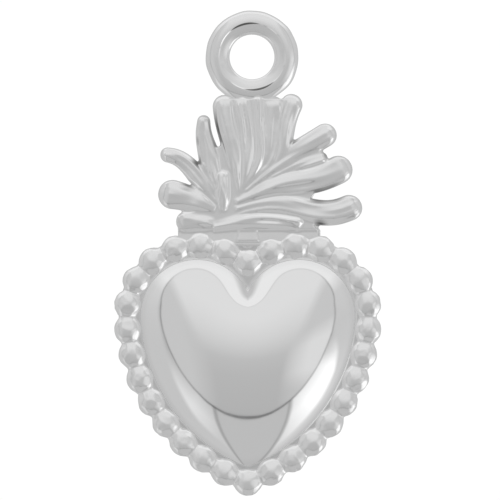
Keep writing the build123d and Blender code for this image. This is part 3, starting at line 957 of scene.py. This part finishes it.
class MakeStage(bpy.types.Operator):
    """Set the pale floor, the light tent, the lamps and the camera"""

    bl_idname = "charm.stage"
    bl_label = "Stage"

    def execute(self, context):
        stage = context.scene.charm_stage
        self.floor(stage)
        self.tent(context, stage)
        self.lamps(stage)
        self.camera(context, stage)
        context.scene.view_settings.view_transform = "Standard"
        return {"FINISHED"}

    def floor(self, stage):
        level = CAD_BOX[0].z - stage.floor_gap
        sides = range(stage.floor_sides)
        turns = [2 * math.pi * i / len(sides) for i in sides]
        rim = [(stage.floor_radius * math.cos(t), stage.floor_radius * math.sin(t), level) for t in turns]
        mesh = bpy.data.meshes.new("floor")
        mesh.from_pydata(rim, [], [tuple(sides)])
        floor = placed("floor", mesh)
        floor.visible_glossy = False
        mesh.materials.append(self.pale_floor(stage))

    def pale_floor(self, stage):
        """Pale paint with a faint speckle, which fades to plain white away from the charm."""
        speckle_scale = 700.0
        darkest, palest = 0.86, 0.9
        material = bpy.data.materials.new("Pale floor")
        material.use_nodes = True
        tree = material.node_tree
        paint = tree.nodes["Principled BSDF"]
        paint.inputs["Roughness"].default_value = 0.6
        place = add(tree, "ShaderNodeTexCoord").outputs["Object"]
        tone = between(tree, cloud(tree, place, speckle_scale, 3.0), 0, 1, darkest, palest)
        tree.links.new(tone, paint.inputs["Base Color"])
        away = reach(tree, place, (1, 1, 0))
        fade = between(tree, away, stage.fade_from, stage.fade_to, shape="SMOOTHSTEP")
        glow = add(tree, "ShaderNodeEmission", {"Color": (1, 1, 1, 1), "Strength": stage.white})
        mix = add(tree, "ShaderNodeMixShader", {0: fade, 1: paint.outputs[0], 2: glow.outputs[0]})
        tree.links.new(mix.outputs[0], tree.nodes["Material Output"].inputs["Surface"])
        return material

    def tent(self, context, stage):
        """The world is a grey tent of cloth round the charm, open towards the lens."""
        world = bpy.data.worlds.new("Light tent")
        context.scene.world = world
        world.use_nodes = True
        tree = world.node_tree
        tree.nodes.clear()
        look = add(tree, "ShaderNodeTexCoord").outputs["Generated"]
        across, depth, up = add(tree, "ShaderNodeSeparateXYZ", {0: look}).outputs
        around = worked(tree, "ARCTAN2", across, worked(tree, "MULTIPLY", up, -1))
        turn = worked(tree, "DEGREES", around)
        edge = curve(tree, worked(tree, "COSINE", around), EDGE_DEPTHS)
        past = worked(tree, "SUBTRACT", depth, edge)
        opening = between(tree, past, EDGE_BLUR, -EDGE_BLUR)
        aside = worked(tree, "ABSOLUTE", worked(tree, "SUBTRACT", turn, GAP_TURN))
        gap = worked(tree, "MULTIPLY_ADD", depth, GAP_NARROWING, aside)
        walls = tones(tree, between(tree, gap, *GAP_SIDE), self.cloth(tree, turn, depth, past), GAP_TONE)
        tone = tones(tree, opening, walls, self.room(tree, across, up))
        darkness = curve(tree, worked(tree, "ABSOLUTE", turn), SEAM_DARKNESS)
        seam = worked(tree, "SUBTRACT", 1.0, worked(tree, "MULTIPLY", curve(tree, past, SEAM), darkness))
        hem = tones(tree, opening, curve(tree, gap, GAP_HEM), 1.0)
        strength = worked(tree, "MULTIPLY", seam, hem)
        tent = add(tree, "ShaderNodeBackground", {"Color": tone, "Strength": strength})
        white = add(tree, "ShaderNodeBackground", {"Color": (1, 1, 1, 1), "Strength": stage.white})
        ray = add(tree, "ShaderNodeLightPath").outputs["Is Camera Ray"]
        mix = add(tree, "ShaderNodeMixShader", {0: ray, 1: tent.outputs[0], 2: white.outputs[0]})
        out = add(tree, "ShaderNodeOutputWorld")
        tree.links.new(mix.outputs[0], out.inputs["Surface"])

    def cloth(self, tree, turn, depth, past):
        """The cloth's tone, with its pale strip and its window as far back as they reach."""
        behind = worked(tree, "SUBTRACT", depth, curve(tree, turn, STRIP_ENDS))
        inside = between(tree, behind, *reversed(STRIP_FADE))
        onset = curve(tree, past, STRIP_ONSET)
        strip = worked(tree, "MULTIPLY", curve(tree, turn, STRIP_TONES), onset)
        sides = tones(tree, inside, curve(tree, turn, CLOTH_TONES), strip)
        return tones(tree, between(tree, depth, *BACK_DEPTHS), sides, BACK_TONE)

    def room(self, tree, across, up):
        """The tone of the room on the lens side, with its card and its panel."""
        wide = worked(tree, "ABSOLUTE", across)
        sides = between(tree, wide, *ROOM_SIDES)
        room = tones(tree, sides, curve(tree, up, ROOM_TONES), ROOM_SIDE_TONE)
        card = worked(tree, "MULTIPLY", between(tree, across, *CARD_ACROSS), curve(tree, up, CARD_UP))
        panel = worked(tree, "MULTIPLY", between(tree, wide, *PANEL_ACROSS), curve(tree, up, PANEL_UP))
        return tones(tree, panel, tones(tree, card, room, CARD_TONE), PANEL_TONE)

    def lamps(self, stage):
        middle = Vector((stage.centre_x, 0, stage.centre_z))
        for name, (place, size, power) in LAMPS.items():
            data = bpy.data.lights.new(name, "AREA")
            data.shape = "DISK"
            data.size = size
            data.energy = power
            lamp = placed(name, data)
            lamp.visible_glossy = False
            lamp.location = place
            lamp.rotation_mode = "QUATERNION"
            lamp.rotation_quaternion = (middle - lamp.location).to_track_quat("-Z", "Y")

    def camera(self, context, stage):
        nearest, farthest = 0.01, 10.0
        data = bpy.data.cameras.new("camera")
        camera = placed("camera", data)
        data.lens = data.sensor_width * stage.distance / stage.frame_width
        data.clip_start = nearest
        data.clip_end = farthest
        camera.location = (stage.centre_x, -stage.distance, stage.centre_z)
        camera.rotation_euler = (math.pi / 2, 0, 0)
        context.scene.camera = camera


OPERATORS = (MakePlate, MakeHeart, MakeBalls, MakeFlames, MakeRing, MakeStage)


class CharmPanel(bpy.types.Panel):
    """The charm's pieces, in the order they are made"""

    bl_idname = "VIEW3D_PT_charm"
    bl_label = "Charm"
    bl_space_type = "VIEW_3D"
    bl_region_type = "UI"
    bl_category = "Charm"

    def draw(self, context):
        for operator in OPERATORS:
            self.layout.operator(operator.bl_idname)
        for name, group in GROUPS.items():
            box = self.layout.box()
            box.label(text=name.replace("charm_", "").capitalize())
            for key in group.__annotations__:
                box.prop(getattr(context.scene, name), key)


CLASSES = (*GROUPS.values(), *OPERATORS, CharmPanel)


def register():
    for item in CLASSES:
        bpy.utils.register_class(item)
    for name, group in GROUPS.items():
        setattr(bpy.types.Scene, name, PointerProperty(type=group))


def unregister():
    for name in GROUPS:
        delattr(bpy.types.Scene, name)
    for item in reversed(CLASSES):
        bpy.utils.unregister_class(item)


def main():
    register()
    bpy.ops.charm.plate()
    bpy.ops.charm.heart()
    bpy.ops.charm.balls()
    bpy.ops.charm.flames()
    bpy.ops.charm.ring()
    bpy.ops.charm.stage()


if __name__ == "__main__":
    main()
